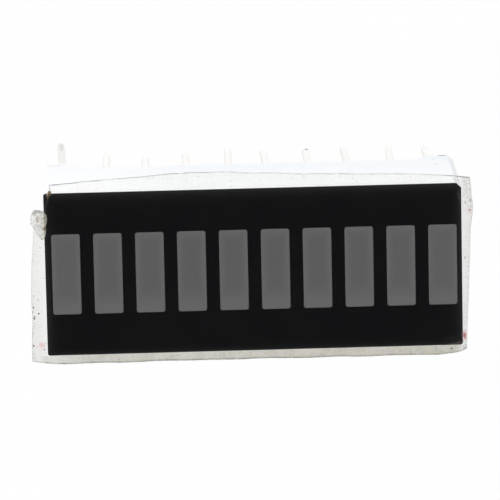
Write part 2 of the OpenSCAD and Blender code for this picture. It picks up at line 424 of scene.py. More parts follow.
blackLook = {
    "plain": (0.0022, 0.0022, 0.0029), "faded": (0.0033, 0.0033, 0.0038), "cloud": (0.3, 0.3, 0.8),
    "worn": (0.045, 0.044, 0.042), "flecks": (6.5, 0.66, 0.8),
    "flecked": 0.18,  # share of the flecks all over the face
    "dusty": ((12.1, -4.8), (1.5, 0.6), 1.2, (3.5, 1.1)), "dustyShares": (0.12, 1.0),
    "edge": (0.026, 0.026, 0.026),  # lighter where the coat ends: thinner coat, and a painted highlight along the edges and the cut corner
    "edgeCover": 0.85, "edgeFade": -4.2,
    "lowFade": 2.2, "keyFade": 0.7,  # the lower edge fades faster and the cut corner slower
    "scuffAndHighlight": (0.075, 0.07, 0.055), "dried": (0.26, 0.21, 0.165),
    "marks": [
        # the first three: a painted highlight along the right edge, with scuffs; the last two: scuffs on the
        # lower edge
        ("scuffAndHighlight", (12.45, 4.4), (0.24, 1.1), 0.2, 0.4),
        ("scuffAndHighlight", (12.52, 4.2), (0.22, 1.1), 0.2, 0.55),
        ("scuffAndHighlight", (12.57, 3.97), (0.2, 1.3), 0.2, 0.6),
        ("scuffAndHighlight", (12.45, -4.93), (1.5, 0.6), 0.2, 0.7),
        ("scuffAndHighlight", (12.1, -4.98), (1.8, 0.4), 0.2, 0.6),
        ("dried", (-12.41, 4.98), (0.6, 0.9), 0.14, 0.8),
        ("dried", (-12.38, 4.84), (0.6, 1.3), 0.14, 0.3),
    ],
    "markEdge": (9, 0.4),
    "rough": (1.2, 0.48, 0.55),
    "grain": (14, 3, 0.5, 0.15, 0.01),
}


def blackInk(look):
    finish = Finish("blackFaceInk", roughness=0.5, specular=0.04)
    x, y, _ = finish.axes()
    color = finish.mix(finish.patches(*look["cloud"]), look["plain"], look["faded"])
    flecks = finish.patches(*look["flecks"])
    dusty = finish.spot(*look["dusty"], front)
    haze = finish.blend(dusty, finish.times(flecks, look["flecked"]),
                        finish.blend(flecks, *look["dustyShares"]))
    color = finish.mix(haze, color, look["worn"])
    # lighter towards every edge: thinner coat, and a painted highlight along the edges and the cut corner
    fromEnd = finish.minus(halfLength, finish.math("ABSOLUTE", x))
    fromTop = finish.minus(halfWidth, y)
    fromLow = finish.times(finish.plus(y, halfWidth), look["lowFade"])
    fromKey = finish.times(finish.minus(keyCorner, finish.plus(x, y)), look["keyFade"])
    depth = finish.least(fromEnd, fromTop, fromLow, fromKey)
    fade = finish.math("EXPONENT", finish.times(depth, look["edgeFade"]))
    color = finish.mix(finish.times(fade, look["edgeCover"]), color, look["edge"])
    return finish.close(finish.stain(color, look, front), look)


# grey diffusing resin of the bars

greyLook = {
    "deep": (0.1055, 0.1055, 0.1055),
    "rim": (0.132, 0.132, 0.131),  # paler where the resin is thin over the white flanks
    "sideFade": (0.6, -0.1), "topFade": (0.8, -0.15), "lowFade": (0.75, -0.05),
    "lowReach": 0.42, "lowGain": 1.25,  # the pale rim is wider and paler at the lower end
    "ends": (6, 12.5, 0, 0.22),  # the end bars are a little paler
    "speck": (0.074, 0.074, 0.075), "specks": (13, 0.42, 0.72), "speckCover": 0.32,
    "rough": (3, 0.42, 0.58),
    "grain": (11, 3, 0.5, 0.2, 0.012),
}


def greyResin(look):
    finish = Finish("greyDiffusedResin", roughness=0.5, specular=0.1)
    x, y, _ = finish.axes()
    halfPitch = display["pitch"] / 2
    halfWide, halfTall = (size / 2 for size in display["bar"])
    fromMiddle = finish.math("PINGPONG", finish.minus(x, display["barShift"]), halfPitch)
    side = finish.step(finish.minus(fromMiddle, halfPitch - halfWide), *look["sideFade"])
    top = finish.step(finish.minus(halfTall, y), *look["topFade"])
    fromLow = finish.times(finish.plus(halfTall, y), look["lowReach"])
    low = finish.times(finish.step(fromLow, *look["lowFade"]), look["lowGain"])
    outer = finish.step(finish.math("ABSOLUTE", x), *look["ends"])
    color = finish.mix(finish.most(side, top, low, outer), look["deep"], look["rim"])
    specks = finish.times(finish.patches(*look["specks"]), look["speckCover"])
    return finish.close(finish.mix(specks, color, look["speck"]), look)


# tinned wire of the pins

tinLook = {
    "bright": (0.995, 0.99, 0.98), "dull": (0.975, 0.97, 0.945), "cloud": (1.3, 0.35, 0.75),
    "drawn": (0.84, 0.84, 0.79), "flanks": (0.6, 0.95),  # painted shade along both flanks of the wire, which darkens its outline
    "shadedTin": [(0.66, 0.65, 0.62), (0.5, 0.49, 0.47)], "shadedTinCloud": (0.9, 0.3, 0.7),
    "dip": (-3.2, -1.6), "row": (3.75, 3.5),  # heights and places between which the tin turns darker: painted shade towards the body, on the -y flank of the +y row and over the whole -y row
    "stain": (0.22, 0.21, 0.19),
    "marks": [
        ("stain", (-11.63, 4.75, -7.1), (0.9, 1.2, 6), 0.28, 0.27),
        ("stain", (-11.59, 4.5, -5.2), (1.4, 1.4, 14), 0.28, 0.11),
        ("stain", (-11.42, 4.28, -3.1), (0.9, 1.2, 2.5), 0.18, 0.3),
        ("stain", (3.88, 4.03, -7.6), (1, 1.6, 2.9), 0.15, 0.85),
        ("stain", (11.3, 3.95, -7.9), (1, 1, 2), 0.24, 0.35),
    ],
    "markEdge": (4, 0.6),
    "rough": (4, 0.3, 0.42),
    "grain": (3, 3, 0.3, 0.06, 0.01),
}


def tinnedWire(look):
    finish = Finish("tinnedPinWire", metallic=1.0, roughness=0.3)
    _, y, z = finish.axes()
    color = finish.mix(finish.patches(*look["cloud"]), look["bright"], look["dull"])
    # painted shade along the flanks, from the side attribute
    color = finish.mix(finish.step(finish.attribute("side")["Fac"], *look["flanks"]), color, look["drawn"])
    # painted shade: darker towards the body and on the -y side of the rows
    shadedTin = finish.most(finish.step(z, *look["dip"]), finish.step(y, *look["row"]))
    color = finish.mix(shadedTin, color, finish.mix(finish.patches(*look["shadedTinCloud"]), *look["shadedTin"]))
    return finish.close(finish.stain(color, look), look)


# clear film: clean over the face, dusty where its sticky side hangs free

filmLook = {
    "level": 8.05,
    # the lower veil: dust, and painted shade below the body
    "veil": {"face": 0.0012, "high": (0.067, 0.08), "left": 0.1, "right": 0.163, "low": 0.37},
    # distances past the body's edges between which each part of the veil begins
    "begins": {"left": (0, 0.05), "right": (-0.02, 0.02), "low": (-0.03, 0.02), "high": (-0.02, 0.12)},
    "chamfer": {"begins": (0, 0.06), "cover": 0.55, "upTo": 0.2, "beyond": (0.25, 0.85)},
    # thinner at the ends of the lower edge: distances from the body's end, cover
    "lowLeft": [(-0.65, 0.1, 0.6), (-0.25, 2.6, 0.35)], "lowRight": (0.25, -0.45, 0.35),
    "highFrom": (0, 9),  # the upper veil grows between these places
    "outward": (0.05, 0.75), "denser": (0.88, 1.12),  # thinnest and densest, away from the ends and in clouds
    "thickerFrom": 1, "thicker": 1.26,  # denser towards the bottom
    "cloud": (1.1, 0.25, 0.75),
    "yellow": (0.74, 0.69, 0.49),  # tint of the glue, over the white wall
    "grey": [(0.3, 0.304, 0.3), (0.3, 0.285, 0.175)],  # from the body outwards
    "beige": [(0.37, 0.345, 0.235), (0.26, 0.215, 0.085)],  # lower edge, from its left end to its right: dust, and painted shade where the film hangs below the body
    "speck": (0.12, 0.11, 0.085), "specks": (8.5, 0.58, 0.72), "highSpecks": 0.6,
    "gritty": ((13.1, 4.6), (0.6, 1), 2.0, (2.5, 0.6)), "speckCover": (0.24, 0.42),
    "cut": (0.14, 0.16, 0.135), "uneven": (2.6, 0.35, 0.65), "unevenBy": (0.5, 1.05),
    "cutTint": 1.4, "cutCover": 0.42,
    "rough": (0.22, 0.42),
    "brown": (0.14, 0.085, 0.022), "sand": (0.6, 0.48, 0.26), "red": (0.36, 0.07, 0.07),
    "pink": (0.57, 0.2, 0.17), "rust": (0.22, 0.1, 0.085), "streak": (0.156, 0.129, 0.05),
    "marks": [
        ("sand", (-12.27, 5.34), (0.45, 1.6), 0.22, 0.45),
        ("cut", (-12.2, 5.57), (1.8, 0.4), 0.15, 0.25),
        ("cut", (-12.25, 5.42), (0.5, 1.9), 0.24, 0.24),
        ("brown", (-12.27, 5.08), (0.8, 1.1), 0.26, 0.72),
        ("sand", (-12.38, 5.08), (0.5, 0.9), 0.15, 0.55),
        ("brown", (-12.33, 4.78), (0.4, 1.2), 0.25, 0.06),
        ("red", (12.77, -4.45), (0.8, 1.5), 0.36, 0.27),
        ("red", (12.745, -4.43), (0.8, 1.2), 0.2, 0.66),
        ("red", (12.79, -4.6), (0.7, 1.2), 0.17, 0.54),
        ("red", (13.17, 3.3), (1.1, 1), 0.28, 0.2),
        ("rust", (13.15, 3.36), (1.3, 0.7), 0.14, 0.4),
        ("pink", (-12.99, -4.37), (1.3, 1.1), 0.34, 0.22),
        ("pink", (-12.98, -4.38), (1.2, 0.9), 0.18, 0.34),
        ("pink", (3.13, 5.72), (1.1, 1.2), 0.14, 0.16),
        ("brown", (11.95, -5.285), (1.0, 0.75), 0.17, 0.58),
        ("streak", (11.005, -5.24), (0.35, 1.5), 0.2, 0.42),
    ],
    "markEdge": (8, 0.75),
}


def clearFilm(look):
    finish = Finish("dustyClearFilm", roughness=0.3, specular=0.3)
    x, y, _ = finish.axes()
    veil, level = look["veil"], look["level"]

    def past(side, place, edge):
        near, far = (math.copysign(1, edge) * away for away in look["begins"][side])
        return finish.step(place, edge + near, edge + far)

    left, right = past("left", x, -halfLength), past("right", x, halfLength)
    low, high = past("low", y, -halfWidth), past("high", y, halfWidth)
    corner = finish.minus(finish.plus(x, y), keyCorner)
    key = look["chamfer"]
    chamfer = finish.times(finish.step(corner, *key["begins"], 0, key["cover"]),
                          finish.step(y, halfWidth + key["upTo"], halfWidth))
    right = finish.most(right, chamfer, finish.step(corner, *key["beyond"]))
    rising = [finish.step(x, near - halfLength, far - halfLength, 0, cover)
              for near, far, cover in look["lowLeft"]]
    near, far, cover = look["lowRight"]
    falling = finish.step(x, halfLength + near, halfLength + far, cover, 1)
    low = finish.times(low, finish.plus(*rising), falling)

    # cover of the dust
    alpha = finish.blend(high, veil["face"], finish.step(x, *look["highFrom"], *veil["high"]))
    outward = finish.step(finish.minus(finish.math("ABSOLUTE", x), halfLength), *look["outward"])
    denser = finish.blend(outward, *look["denser"])
    alpha = finish.blend(left, alpha, finish.times(denser, veil["left"]))
    alpha = finish.blend(right, alpha, finish.times(denser, veil["right"]))
    thicker = finish.step(y, look["thickerFrom"], -halfWidth, 1, look["thicker"])
    # lower edge: dust, and painted shade where the film hangs below the body
    alpha = finish.blend(low, finish.times(alpha, thicker), veil["low"])
    cloud = finish.patches(*look["cloud"])
    alpha = finish.times(alpha, finish.blend(cloud, *look["denser"]))
    ends = finish.most(left, right)
    free = finish.most(ends, low, finish.times(high, look["highSpecks"]))
    specks = finish.times(finish.patches(*look["specks"]), free)
    gritty = finish.spot(*look["gritty"], level)
    alpha = finish.plus(alpha, finish.times(specks, finish.blend(gritty, *look["speckCover"])))

    # its colour, then the cut edge and the marks in both
    overWall = finish.times(high, finish.minus(1.0, ends))
    color = finish.mix(overWall, finish.mix(outward, *look["grey"]), look["yellow"])
    # colour of the lower edge: dust, and painted shade below the body
    color = finish.mix(low, color, finish.mix(finish.step(x, -halfLength, halfLength), *look["beige"]))
    color = finish.mix(specks, color, look["speck"])
    uneven = finish.blend(finish.patches(*look["uneven"]), *look["unevenBy"])
    edge = finish.times(finish.attribute("rim")["Fac"], uneven)
    tint = finish.least(finish.times(edge, look["cutTint"]), 1.0)
    color = finish.mix(tint, color, look["cut"])
    alpha = finish.plus(alpha, finish.times(edge, look["cutCover"]))
    for name, centre, stretch, radius, cover in look["marks"]:
        mark = finish.spot(centre, stretch, radius, look["markEdge"], level)
        color = finish.mix(mark, color, look[name])
        alpha = finish.blend(mark, alpha, cover)
    finish.set("Base Color", color)
    finish.set("Alpha", finish.least(alpha, 1.0))
    finish.set("Roughness", finish.blend(cloud, *look["rough"]))
    return finish.material


# crumpled lump of film and glue

lumpLook = {
    "pale": [(0.97, 0.965, 0.92), (0.84, 0.82, 0.71)], "across": (-12.95, -12.62),  # from left to right
    # fold: dark lines in the creases, dirt and painted shade
    "grey": (0.55, 0.54, 0.47), "fold": (0.17, 0.15, 0.09), "shadow": (0.26, 0.27, 0.26),
    "sand": (0.46, 0.36, 0.2), "brown": (0.16, 0.1, 0.04), "creamHighlight": (0.98, 0.965, 0.9),
    "cover": (0.1, 0.46),  # of a clear facet and of a dense one
    "doubled": 0.26,  # more cover on the right, where the film lies double
    "creased": 0.82, "stained": 0.7,  # cover of a crease and of a stain
    "marks": [
        ("shadow", (-12.93, 3.98, 8.2), (1.9, 0.6, 3), 0.26, 0.9),
        ("shadow", (-13.2, 3.88, 8.2), (1.1, 0.8, 3), 0.18, 0.8),
        # painted highlights, cream-tinted
        ("creamHighlight", (-12.93, 3.34, 8.3), (1.4, 0.9, 3), 0.2, 0.75),
        ("creamHighlight", (-12.84, 3.53, 8.3), (1.0, 0.9, 3), 0.18, 0.6),
        ("sand", (-12.98, 3.58, 8.3), (0.9, 1.4, 2), 0.24, 0.4),
        ("brown", (-13.05, 3.54, 8.35), (0.5, 1.6, 2), 0.2, 0.7),
        ("brown", (-12.64, 2.92, 8.2), (0.9, 0.9, 3), 0.18, 0.95),
        ("brown", (-12.62, 3.6, 8.2), (0.5, 1.4, 3), 0.2, 0.55),
        ("shadow", (-12.54, 3.74, 8.2), (0.9, 1.5, 3), 0.2, 0.5),
    ],
    "markEdge": (7, 0.6),
    "rough": (0.2, 0.45),
    "grain": (7, 3, 0.4, 0.3, 0.03),
}


def gluedFilm(look):
    finish = Finish("crumpledFilmGlue", roughness=0.3, specular=0.5)
    crease, tone, _ = finish.add("SeparateColor", {0: finish.attribute("fold")["Color"]})
    across = finish.step(finish.axes()["X"], *look["across"])
    color = finish.mix(tone, finish.mix(across, *look["pale"]), look["grey"])
    doubled = finish.times(across, look["doubled"])
    cover = finish.plus(finish.blend(tone, *look["cover"]), doubled)
    for name, centre, stretch, radius, share in look["marks"]:
        stain = finish.times(finish.spot(centre, stretch, radius, look["markEdge"]), share)
        color = finish.mix(stain, color, look[name])
        cover = finish.blend(stain, cover, look["stained"])
    # creases darker: dirt, and painted shade in the folds
    finish.set("Base Color", finish.mix(crease, color, look["fold"]))
    finish.set("Alpha", finish.blend(crease, cover, look["creased"]))
    finish.set("Roughness", finish.blend(tone, *look["rough"]))
    finish.bump(*look["grain"])
    return finish.material


# finishes of the back, the inside and the grit: two tones in soft patches

plainLook = {
    "levels": (0.3, 0.7),
    "smoothest": 0.8, "roughest": 1.25,  # times the roughness
    "grain": (4, 0.35, 0.2, 0.015),  # all but its scale
}


def plainFinish(name, pale, dark, scale, roughness, metallic=0.0, specular=0.5, grain=8):
    finish = Finish(name, metallic, roughness, specular)
    patches = finish.patches(scale, *plainLook["levels"])
    finish.set("Base Color", finish.mix(patches, pale, dark))
    finish.set("Roughness", finish.blend(patches, roughness * plainLook["smoothest"],
                                         roughness * plainLook["roughest"]))
    finish.bump(grain, *plainLook["grain"])
    return finish.material


whiteFinish = whitePlastic(whiteLook)
blackFinish = blackInk(blackLook)
greyFinish = greyResin(greyLook)
tinFinish = tinnedWire(tinLook)
filmFinish = clearFilm(filmLook)
lumpFinish = gluedFilm(lumpLook)
epoxyFinish = plainFinish("milkyEpoxy", (0.80, 0.785, 0.72), (0.7, 0.68, 0.6), 0.9, 0.22, grain=3)
boardFinish = plainFinish("greenLaminate", (0.05, 0.19, 0.08), (0.035, 0.14, 0.06), 3, 0.5)
copperFinish = plainFinish("etchedCopper", (0.72, 0.4, 0.22), (0.55, 0.28, 0.14), 4, 0.35, metallic=1.0)
solderFinish = plainFinish("brightSolder", (0.7, 0.7, 0.7), (0.52, 0.52, 0.53), 5, 0.25, metallic=1.0)
chipFinish = plainFinish("sawnChip", (0.34, 0.4, 0.44), (0.22, 0.26, 0.3), 9, 0.3, specular=0.7)
goldFinish = plainFinish("goldWire", (0.9, 0.66, 0.24), (0.75, 0.5, 0.15), 12, 0.25, metallic=1.0)
gritFinish = plainFinish("darkGrit", (0.22, 0.185, 0.14), (0.1, 0.085, 0.07), 5, 0.8, specular=0.2)
print("finishes built")


# housing: the solid with its outer edges broken, as a moulding has them

housingForm = {
    "edge": 0.05, "steps": 2,
    "band": 0.7, "below": 7.6,  # edges in this outer band and below this height are broken
    "sharp": 28, "flat": 0.5,  # degrees from which an edge is broken, and under which faces are joined
    "merge": 0.0001, "shading": 35,
}


def buildHousing(form):
    bm = bmesh.new()
    bm.from_mesh(nodes["housing"].data)
    bmesh.ops.remove_doubles(bm, verts=bm.verts[:], dist=form["merge"] * mm)
    bmesh.ops.dissolve_limit(bm, angle_limit=math.radians(form["flat"]), verts=bm.verts[:], edges=bm.edges[:])
    insideX, insideY = ((half - form["band"]) * mm for half in (halfLength, halfWidth))
    chosen = []
    for edge in bm.edges:
        if len(edge.link_faces) != 2 or edge.calc_face_angle(0) < math.radians(form["sharp"]):
            continue
        centre = (edge.verts[0].co + edge.verts[1].co) / 2
        outside = abs(centre.x) > insideX or abs(centre.y) > insideY
        if outside and max(v.co.z for v in edge.verts) < form["below"] * mm:
            chosen.append(edge)
    bmesh.ops.bevel(bm, geom=chosen, offset=form["edge"] * mm, offset_type="OFFSET", segments=form["steps"],
                    profile=0.5, affect="EDGES", clamp_overlap=True)
    obj = linkMesh("reflectorHousing", bm, shading=form["shading"])
    dress(obj, whiteFinish, ["housing"])


buildHousing(housingForm)
print("housing made")


# geometry nodes: one template on each point, moved aside by the point's own drift

def pointTree(name):
    tree = bpy.data.node_groups.new(name, "GeometryNodeTree")
    for label, kind in (("Geometry", "Geometry"), ("Template", "Object"), ("Knee Height", "Float"),
                        ("Tip Height", "Float"), ("Material", "Material")):
        tree.interface.new_socket(label, in_out="INPUT", socket_type="NodeSocket" + kind)
    tree.interface.new_socket("Geometry", in_out="OUTPUT", socket_type="NodeSocketGeometry")
    start = add(tree, "NodeGroupInput")
    size, turn, drift = (
        add(tree, "GeometryNodeInputNamedAttribute", {"Name": label}, data_type="FLOAT_VECTOR")["Attribute"]
        for label in ("size", "turn", "drift"))
    template = add(tree, "GeometryNodeObjectInfo", {"Object": start["Template"]}, transform_space="ORIGINAL")
    spin = add(tree, "FunctionNodeEulerToRotation", {0: turn})[0]
    placed = add(tree, "GeometryNodeInstanceOnPoints", {
        "Points": start["Geometry"], "Instance": template["Geometry"], "Scale": size, "Rotation": spin})[0]
    real = add(tree, "GeometryNodeRealizeInstances", {0: placed})[0]
    where = add(tree, "GeometryNodeInputPosition")[0]
    height = add(tree, "ShaderNodeSeparateXYZ", {0: where})["Z"]
    along = add(tree, "ShaderNodeMapRange", {
        "Value": height, "From Min": start["Knee Height"], "From Max": start["Tip Height"]})["Result"]
    aside = add(tree, "ShaderNodeVectorMath", {0: drift, "Scale": along}, operation="SCALE")[0]
    moved = add(tree, "GeometryNodeSetPosition", {"Geometry": real, "Offset": aside})[0]
    painted = add(tree, "GeometryNodeSetMaterial", {"Geometry": moved, "Material": start["Material"]})[0]
    add(tree, "NodeGroupOutput", {0: painted})
    return tree


repeatOnPoints = pointTree("repeatOnPoints")


def socketName(tree, label):
    return next(item.identifier for item in tree.interface.items_tree
                if item.item_type == "SOCKET" and item.in_out == "INPUT" and item.name == label)


def bake(obj, name):
    depsgraph = bpy.context.evaluated_depsgraph_get()
    mesh = bpy.data.meshes.new_from_object(obj.evaluated_get(depsgraph))
    mesh.name = name
    made = newObject(name, mesh)
    obj.modifiers.clear()
    bpy.data.objects.remove(obj)
    for attribute in [a.name for a in made.data.attributes if a.name in ("drift", "size", "turn")]:
        made.data.attributes.remove(made.data.attributes[attribute])
    return made


def repeat(name, template, points, material, knee=0.0, tip=-1.0):
    # points: place, drift, size and turn of each copy
    mesh = bpy.data.meshes.new(name + "Points")
    mesh.from_pydata([p["place"] for p in points], [], [])
    for label, plain in (("drift", (0, 0, 0)), ("size", (1, 1, 1)), ("turn", (0, 0, 0))):
        layer = mesh.attributes.new(label, "FLOAT_VECTOR", "POINT")
        layer.data.foreach_set("vector", [c for p in points for c in p.get(label, plain)])
    carrier = newObject(name + "Points", mesh)
    modifier = carrier.modifiers.new("repeat", "NODES")
    modifier.node_group = repeatOnPoints
    inputs = {"Template": template, "Knee Height": knee, "Tip Height": tip, "Material": material}
    for label, value in inputs.items():
        modifier[socketName(repeatOnPoints, label)] = value
    made = bake(carrier, name)
    bpy.data.objects.remove(template)
    return made


# light bars

barForm = {
    "mouth": 7.4, "chipPlane": 3.0, "back": 2.965, "corner": 0.15, "cornerSteps": 6,
    "throat": (1.1, 2.4), "throatCorner": 0.01, "slack": 0.003,
    "lip": 0.02, "lipSteps": 3, "dish": 0.012,
    # rings of the dished face: how much smaller than the bar, share of its corner and of the dish
    "dishRings": [(0.2, 0.6, 0.5), (0.6, 0.3, 1)],
    "shading": 40,
}


def roundedOutline(width, height, radius, steps):
    points = []
    for cx, cy, first in ((1, 1, 0), (-1, 1, 90), (-1, -1, 180), (1, -1, 270)):
        for i in range(steps + 1):
            a = math.radians(first + 90 * i / steps)
            x = cx * (width / 2 - radius) + radius * math.cos(a)
            y = cy * (height / 2 - radius) + radius * math.sin(a)
            points.append((x, y))
    return points


def buildBars(form):
    w, h = (size - 2 * form["slack"] for size in display["bar"])
    throatWide, throatTall = (size - 2 * form["slack"] for size in form["throat"])
    r, lip = form["corner"], form["lip"]
    rings = [(throatWide, throatTall, form["throatCorner"], z) for z in (form["back"], form["chipPlane"])]
    rings += [(w, h, r, z) for z in (form["mouth"], front - lip)]
    for k in range(1, form["lipSteps"] + 1):
        a = math.radians(90 / form["lipSteps"] * k)
        inset = lip * (1 - math.cos(a))
        rings.append((w - 2 * inset, h - 2 * inset, r - inset, front - lip + lip * math.sin(a)))
    for less, corner, deep in form["dishRings"]:
        rings.append((w - less, h - less, r * corner, front - form["dish"] * deep))
    bm = bmesh.new()
    ringLoft(bm, [[(x, y, z) for x, y in roundedOutline(wide, tall, radius, form["cornerSteps"])]
                  for wide, tall, radius, z in rings])
    template = linkMesh("barTemplate", bm, shading=form["shading"])
    points = [{"place": ((x + display["barShift"]) * mm, 0, 0)} for x in alongRow()]
    bars = repeat("lightBars", template, points, greyFinish)
    dress(bars, greyFinish, numbered("light_bar", display["count"]))


buildBars(barForm)
print("light bars made")


# pins

pinForm = {
    "top": 3.0, "shank": 0.56, "foot": 1.0, "diameter": 0.45, "length": 8.0, "sides": 24,
    "knee": -0.4,  # height below which a bent pin leans
    "bends": (0.4, 0.0, -0.4, -0.5, -0.6, -0.7),  # rings close together round the knee
    "steps": 16,  # and even ones from there to the tip
    "dome": (12, 24, 36, 48, 60, 70, 79, 86),  # degrees of the rings on the rounded tip
    # drift of the tips of pins 1 to 10, as handling has left them
    "drift": [(-0.05, -0.1), (0.2, 0), (-0.15, 0.1), (0, 0), (-0.15, 0), (0.15, 0.2), (0, 0), (0, -0.25),
              (0.1, 0), (-0.25, 0.75)],
    "shading": 50,
}


def buildPins(form):
    r = form["diameter"] / 2
    straight, last = form["bends"][-1], -form["length"] + r
    profile = [(form["top"], form["shank"] / 2), (form["foot"], r)]
    profile += [(z, r) for z in form["bends"]]
    profile += [(straight + (last - straight) * k / form["steps"], r) for k in range(1, form["steps"] + 1)]
    for degrees in form["dome"]:
        a = math.radians(degrees)
        profile.append((last - r * math.sin(a), r * math.cos(a)))
    around = [2 * math.pi * i / form["sides"] for i in range(form["sides"])]
    bm = bmesh.new()
    ringLoft(bm, [[(radius * math.cos(a), radius * math.sin(a), z) for a in around] for z, radius in profile])
    # side: mask for the painted shade along the pins' flanks
    side = bm.verts.layers.float.new("side")  # 1 on both flanks along the row, 0 in front and behind
    for v in bm.verts:
        v[side] = abs(v.co.x) / math.hypot(v.co.x, v.co.y)
    template = linkMesh("pinTemplate", bm, shading=form["shading"])
    y = display["rowGap"] / 2 * mm
    points = [{"place": (x * mm, y, 0), "drift": (dx * mm, dy * mm, 0)}
              for x, (dx, dy) in zip(alongRow(), form["drift"])]
    points += [{"place": (x * mm, -y, 0)} for x in reversed(alongRow())]
    pins = repeat("pinRows", template, points, tinFinish, knee=form["knee"] * mm, tip=last * mm)
    dress(pins, tinFinish, numbered("pin", 2 * display["count"]))


buildPins(pinForm)
print("pins made")


# epoxy in the back, drawn up a little at the walls and round the pins

pottingForm = {
    "length": 24.0, "width": 8.8, "low": 1.1, "high": 2.165, "slack": 0.002,
    "climb": 0.09, "reach": 0.22,
    "shank": 0.27, "pinReach": 1.4,  # radius of a pin, and how much sooner the climb ends at it
    "wave": (0.45, 3.1), "waveHeight": 0.012,
    "lines": (110, 36), "margin": 0.6,  # of the even part of the grid
    "near": (0, 0.05, 0.125, 0.25, 0.425),  # lines closer together at the wall
    "shading": 50,
}


def buildPotting(form):
    halfX, halfY = form["length"] / 2, form["width"] / 2
    pinSpots = [(x, side * display["rowGap"] / 2) for x in alongRow() for side in (-1, 1)]

    def level(x, y):
        wall = min(halfX - abs(x), halfY - abs(y))
        pin = min(math.hypot(x - px, y - py) for px, py in pinSpots) - form["shank"]
        rise = math.exp(-max(wall, 0) / form["reach"])
        rise += math.exp(-max(pin, 0) / form["reach"] * form["pinReach"])
        wave = ripple(x, y, *form["wave"]) * form["waveHeight"]
        return form["low"] - form["climb"] * min(rise, 1.0) + wave * min(1.0, wall)

    def spread(half, count):
        even = [-half + form["margin"] + 2 * (half - form["margin"]) * k / count for k in range(1, count)]
        edge = [-half + away for away in form["near"]]
        return edge + even + [-v for v in reversed(edge)]

    xs, ys = (spread(half - form["slack"], count) for half, count in zip((halfX, halfY), form["lines"]))
    bm = bmesh.new()
    under = [[bm.verts.new((x * mm, y * mm, level(x, y) * mm)) for x in xs] for y in ys]
    for near, far in zip(under, under[1:]):
        for i in range(len(xs) - 1):
            bm.faces.new((near[i], far[i], far[i + 1], near[i + 1]))
    rim = under[0] + [row[-1] for row in under[1:]]
    rim += list(reversed(under[-1][:-1])) + [row[0] for row in reversed(under[1:-1])]
    top = [bm.verts.new((v.co.x, v.co.y, form["high"] * mm)) for v in rim]
    for i in range(len(rim)):
        j = (i + 1) % len(rim)
        bm.faces.new((rim[i], rim[j], top[j], top[i]))
    bm.faces.new(top)
    obj = linkMesh("epoxyBack", bm, shading=form["shading"])
    dress(obj, epoxyFinish, ["potting"])


buildPotting(pottingForm)
print("epoxy made")


# protective film

filmForm = {
    "level": 8.005, "thickness": 0.055,
    "gap": 0.15, "spacing": 0.35,  # steps of the outline, and of the points within it
    "clear": 0.6,  # least distance between the two, as a share of the spacing
    "field": ((-14, 28), (-6, 12)),  # lowest x and y of those points, and how far they go
    "sway": [(0.5, 7.7, 0.35), (1.7, 2.2, 0.08)],  # scale, level and height of the waves where it hangs free
    "sag": 0.12,
    "wobble": 0.012, "wobbleNoise": (2.1, 5.5),
    "rim": {"high": 0.07, "right": 0.06, "low": 0.11, "left": 0.08},  # width of the dirty cut edge
    # how dirty each edge is, at even steps from its start to its end
    "soil": {"high": (1.8, 0.8, 1.2, 0.65, 0.75, 0.85, 0.5, 1.6), "right": (0.5, 0.25, 0.12),
             "low": (0.6, 0.85, 0.6), "left": (0.55, 0.25, 0.25)},
    # outline, clockwise from the upper left corner
    "high": [(-12.29, 5.57), (-10.4, 5.72), (-7.95, 5.9), (-5.5, 6.02), (-3.1, 6.1), (-0.7, 6.05),
             (2.95, 5.89), (6.6, 5.765), (10.2, 5.66), (12.0, 5.53), (13.2, 5.36)],
    "right": [(13.2, 5.36), (13.25, 4.9), (13.29, 4.25), (13.35, 3.6), (13.3, 3.0), (13.2, 2.1),
              (13.135, 0.2), (13.02, -2.3), (12.91, -4.8), (12.89, -5.28)],
    "low": [(12.89, -5.28), (12.67, -5.43), (12.35, -5.52), (11.3, -5.62), (10.0, -5.635), (5.8, -5.62),
            (-0.3, -5.595), (-3.4, -5.575), (-7.65, -5.59), (-10.7, -5.605), (-12.0, -5.585), (-12.8, -5.51),
            (-13.37, -5.43), (-13.61, -5.39)],
    "left": [(-13.61, -5.39), (-13.585, -4.05), (-13.53, -2.8), (-13.56, -1.5), (-13.535, -0.3),
             (-13.46, 0.95), (-13.375, 1.9), (-13.315, 2.75), (-13.15, 3.2), (-12.66, 3.7), (-12.6, 4.05),
             (-12.57, 4.28), (-12.49, 4.46), (-12.4, 4.7), (-12.4, 4.9), (-12.45, 5.06),
             (-12.31, 5.27), (-12.29, 5.57)],
}


def through(points, gap):
    # smooth line through the points, in short steps
    out = []
    count = len(points)
    for i in range(count - 1):
        p0, p1, p2, p3 = (Vector(points[max(0, min(count - 1, k))]) for k in (i - 1, i, i + 1, i + 2))
        pieces = max(1, int((p2 - p1).length / gap))
        for k in range(pieces):
            t = k / pieces
            out.append(0.5 * (2 * p1 + (p2 - p0) * t + (2 * p0 - 5 * p1 + 4 * p2 - p3) * t * t
                              + (3 * p1 - p0 - 3 * p2 + p3) * t ** 3))
    return out


def pastBody(x, y):
    return max(abs(x) - halfLength, abs(y) - halfWidth)


def filmLevel(x, y):
    # flat on the face, a little wavy where it hangs free
    sway = sum(ripple(x, y, scale, level) * high for scale, level, high in filmForm["sway"])
    return max(pastBody(x, y), 0.0) * (sway - filmForm["sag"])


def filmOutline(form, gap):
    points, soil, width = [], [], []
    for side in ("high", "right", "low", "left"):
        line = through(form[side], gap)
        steps = form["soil"][side]
        points += line
        width += [form["rim"][side]] * len(line)
        for i in range(len(line)):
            k, share = divmod((len(steps) - 1) * i / len(line), 1)
            soil.append(steps[int(k)] * (1 - share) + steps[int(k) + 1] * share)
    return points, soil, width


